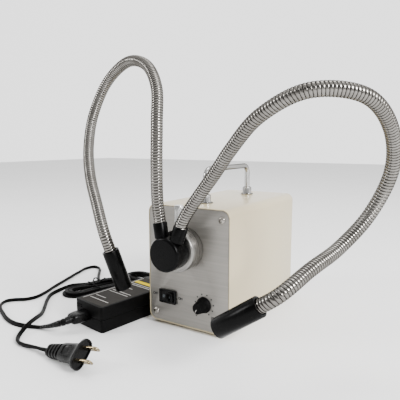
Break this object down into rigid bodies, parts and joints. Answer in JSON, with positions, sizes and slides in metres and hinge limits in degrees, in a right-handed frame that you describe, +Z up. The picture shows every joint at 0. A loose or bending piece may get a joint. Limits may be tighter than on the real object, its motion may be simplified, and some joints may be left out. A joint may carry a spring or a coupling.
{
  "type": "fiber optic gooseneck illuminator",
  "caption": "Bench lamp housing with a carry handle and a dimmer; a light port feeds a hub with ribbed gooseneck arms ending in nozzles; desktop power adapter and coiled leads.",
  "frame": {"origin": "on the table, below the middle of the bounding box of the housing with its arms", "axes": "+Z up, -Y out of the front panel, +X to the right as seen from the front"},
  "size_m": [0.4722, 0.3738, 0.304],
  "materials": {
    "cream_enamel": "cream enamel, semi-matt",
    "brushed_panel": "brushed side to side, warm grey",
    "bright_aluminium": "turned, bright",
    "black_anodised": "black anodised, satin",
    "black_plastic": "moulded, fine grain",
    "chrome": "polished plating",
    "steel": "plain",
    "rubber": "matt",
    "window_glass": "clear, polished",
    "board_green": "solder mask",
    "blade_brass": "nickel-washed, bright",
    "cord_black": "smooth cord jacket",
    "tie_black": "thin plastic over wire"
  },
  "bodies": {
    "housing": {"housing_shell": "cream_enamel", "front_panel": "brushed_panel", "rear_panel": "cream_enamel", "front_screw_1": "steel", "front_screw_2": "steel", "front_screw_3": "steel", "front_screw_4": "steel", "foot_1": "rubber", "foot_2": "rubber", "foot_3": "rubber", "foot_4": "rubber", "handle_bar": "chrome", "handle_nut_front": "chrome", "handle_nut_rear": "chrome", "light_port_barrel": "bright_aluminium", "led_module": "bright_aluminium", "fan_frame": "black_plastic", "driver_board": "board_green", "dimmer_pot": "steel", "switch_body": "black_plastic", "dc_jack": "black_plastic", "mains_cord_a": "cord_black", "mains_cord_b": "cord_black", "mains_hank": "cord_black", "twist_tie": "tie_black", "mains_connector": "black_plastic", "plug_body": "black_plastic", "plug_blade_1": "blade_brass", "plug_blade_2": "blade_brass", "dc_cord_a": "cord_black", "dc_cord_b": "cord_black", "dc_hank": "cord_black", "dc_plug": "black_plastic", "adapter_base": "black_plastic", "adapter_lid": "black_plastic"},
    "rocker": {"switch_rocker": "black_plastic"},
    "knob": {"dimmer_knob": "black_plastic"},
    "rotor": {"fan_rotor": "black_plastic"},
    "clamp_screw": {"thumbscrew_shank": "steel"},
    "clamp_head": {"thumbscrew_head": "bright_aluminium"},
    "spigot": {"guide_spigot": "steel"},
    "hub": {"guide_hub": "black_anodised", "left_collar": "black_anodised", "right_collar": "black_anodised"},
    "left_arm_1": {"left_hose_1": "chrome"},
    "left_arm_2": {"left_hose_2": "chrome"},
    "left_arm_3": {"left_hose_3": "chrome"},
    "left_arm_4": {"left_hose_4": "chrome"},
    "left_arm_5": {"left_hose_5": "chrome"},
    "left_arm_6": {"left_hose_6": "chrome", "left_nozzle": "black_anodised", "left_window": "window_glass"},
    "right_arm_1": {"right_hose_1": "chrome"},
    "right_arm_2": {"right_hose_2": "chrome"},
    "right_arm_3": {"right_hose_3": "chrome"},
    "right_arm_4": {"right_hose_4": "chrome"},
    "right_arm_5": {"right_hose_5": "chrome"},
    "right_arm_6": {"right_hose_6": "chrome", "right_nozzle": "black_anodised", "right_window": "window_glass"}
  },
  "joints": [
    {"name": "rocker_tilt", "type": "hinge", "parent": "housing", "child": "rocker", "pos_m": [-0.0489, -0.0445, 0.0342], "axis": [0, 0, 1], "range_deg": [0, 20]},
    {"name": "dimmer_turn", "type": "hinge", "parent": "housing", "child": "knob", "pos_m": [-0.0018, -0.0453, 0.0338], "axis": [0, 1, 0], "range_deg": [0, 300]},
    {"name": "fan_spin", "type": "hinge", "parent": "housing", "child": "rotor", "pos_m": [-0.0232, 0.1279, 0.082], "axis": [0, -1, 0], "continuous": true},
    {"name": "clamp_travel", "type": "slide", "parent": "housing", "child": "clamp_screw", "axis": [0, 0, 1], "range_m": [0, 0.00175]},
    {"name": "clamp_turn", "type": "hinge", "parent": "clamp_screw", "child": "clamp_head", "pos_m": [-0.0257, -0.0563, 0.122], "axis": [0, 0, 1], "range_deg": [0, 900]},
    {"name": "guide_pull", "type": "slide", "parent": "housing", "child": "spigot", "axis": [0, -1, 0], "range_m": [0, 0.022]},
    {"name": "guide_turn", "type": "hinge", "parent": "spigot", "child": "hub", "pos_m": [-0.0257, -0.0653, 0.0927], "axis": [0, -1, 0], "range_deg": [-20, 15]},
    {"name": "left_bend_1", "type": "hinge", "parent": "hub", "child": "left_arm_1", "pos_m": [-0.03649, -0.0748, 0.12531], "axis": [-0.002, 1, 0], "range_deg": [-20, 20]},
    {"name": "left_bend_2", "type": "hinge", "parent": "left_arm_1", "child": "left_arm_2", "pos_m": [-0.04292, -0.07, 0.20817], "axis": [0.4876, -0.852, 0.1906], "range_deg": [-20, 12]},
    {"name": "left_bend_3", "type": "hinge", "parent": "left_arm_2", "child": "left_arm_3", "pos_m": [-0.07062, -0.0418, 0.2793], "axis": [-0.5252, -0.851, 0], "range_deg": [-20, 20]},
    {"name": "left_bend_4", "type": "hinge", "parent": "left_arm_3", "child": "left_arm_4", "pos_m": [-0.14368, -0.01675, 0.29006], "axis": [0.4682, -0.0591, -0.8816], "range_deg": [-20, 15]},
    {"name": "left_bend_5", "type": "hinge", "parent": "left_arm_4", "child": "left_arm_5", "pos_m": [-0.17114, -0.03553, 0.22104], "axis": [-0.8999, -0.436, 0], "range_deg": [-4, 20]},
    {"name": "left_bend_6", "type": "hinge", "parent": "left_arm_5", "child": "left_arm_6", "pos_m": [-0.13438, -0.07172, 0.15635], "axis": [0.567, -0.3735, 0.7342], "range_deg": [-20, 10]},
    {"name": "right_bend_1", "type": "hinge", "parent": "hub", "child": "right_arm_1", "pos_m": [-0.01048, -0.0748, 0.12349], "axis": [-0.0026, 1, 0], "range_deg": [-20, 20]},
    {"name": "right_bend_2", "type": "hinge", "parent": "right_arm_1", "child": "right_arm_2", "pos_m": [0.04093, -0.08362, 0.18671], "axis": [0.7188, -0.2708, -0.6403], "range_deg": [-20, 20]},
    {"name": "right_bend_3", "type": "hinge", "parent": "right_arm_2", "child": "right_arm_3", "pos_m": [0.10455, -0.10106, 0.23679], "axis": [-0.0405, -0.9992, 0], "range_deg": [-20, 20]},
    {"name": "right_bend_4", "type": "hinge", "parent": "right_arm_3", "child": "right_arm_4", "pos_m": [0.16739, -0.05975, 0.22918], "axis": [-0.1874, -0.518, -0.8346], "range_deg": [-20, 20]},
    {"name": "right_bend_5", "type": "hinge", "parent": "right_arm_4", "child": "right_arm_5", "pos_m": [0.16485, -0.01564, 0.16276], "axis": [0.2792, 0.9602, 0], "range_deg": [-20, 20]},
    {"name": "right_bend_6", "type": "hinge", "parent": "right_arm_5", "child": "right_arm_6", "pos_m": [0.13109, -0.05871, 0.10806], "axis": [0.0594, 0.2202, -0.9737], "range_deg": [-20, 20]}
  ],
  "couplings": [
    {"joint": "clamp_turn", "follows": "clamp_travel", "rad_per_m": 8976}
  ]
}
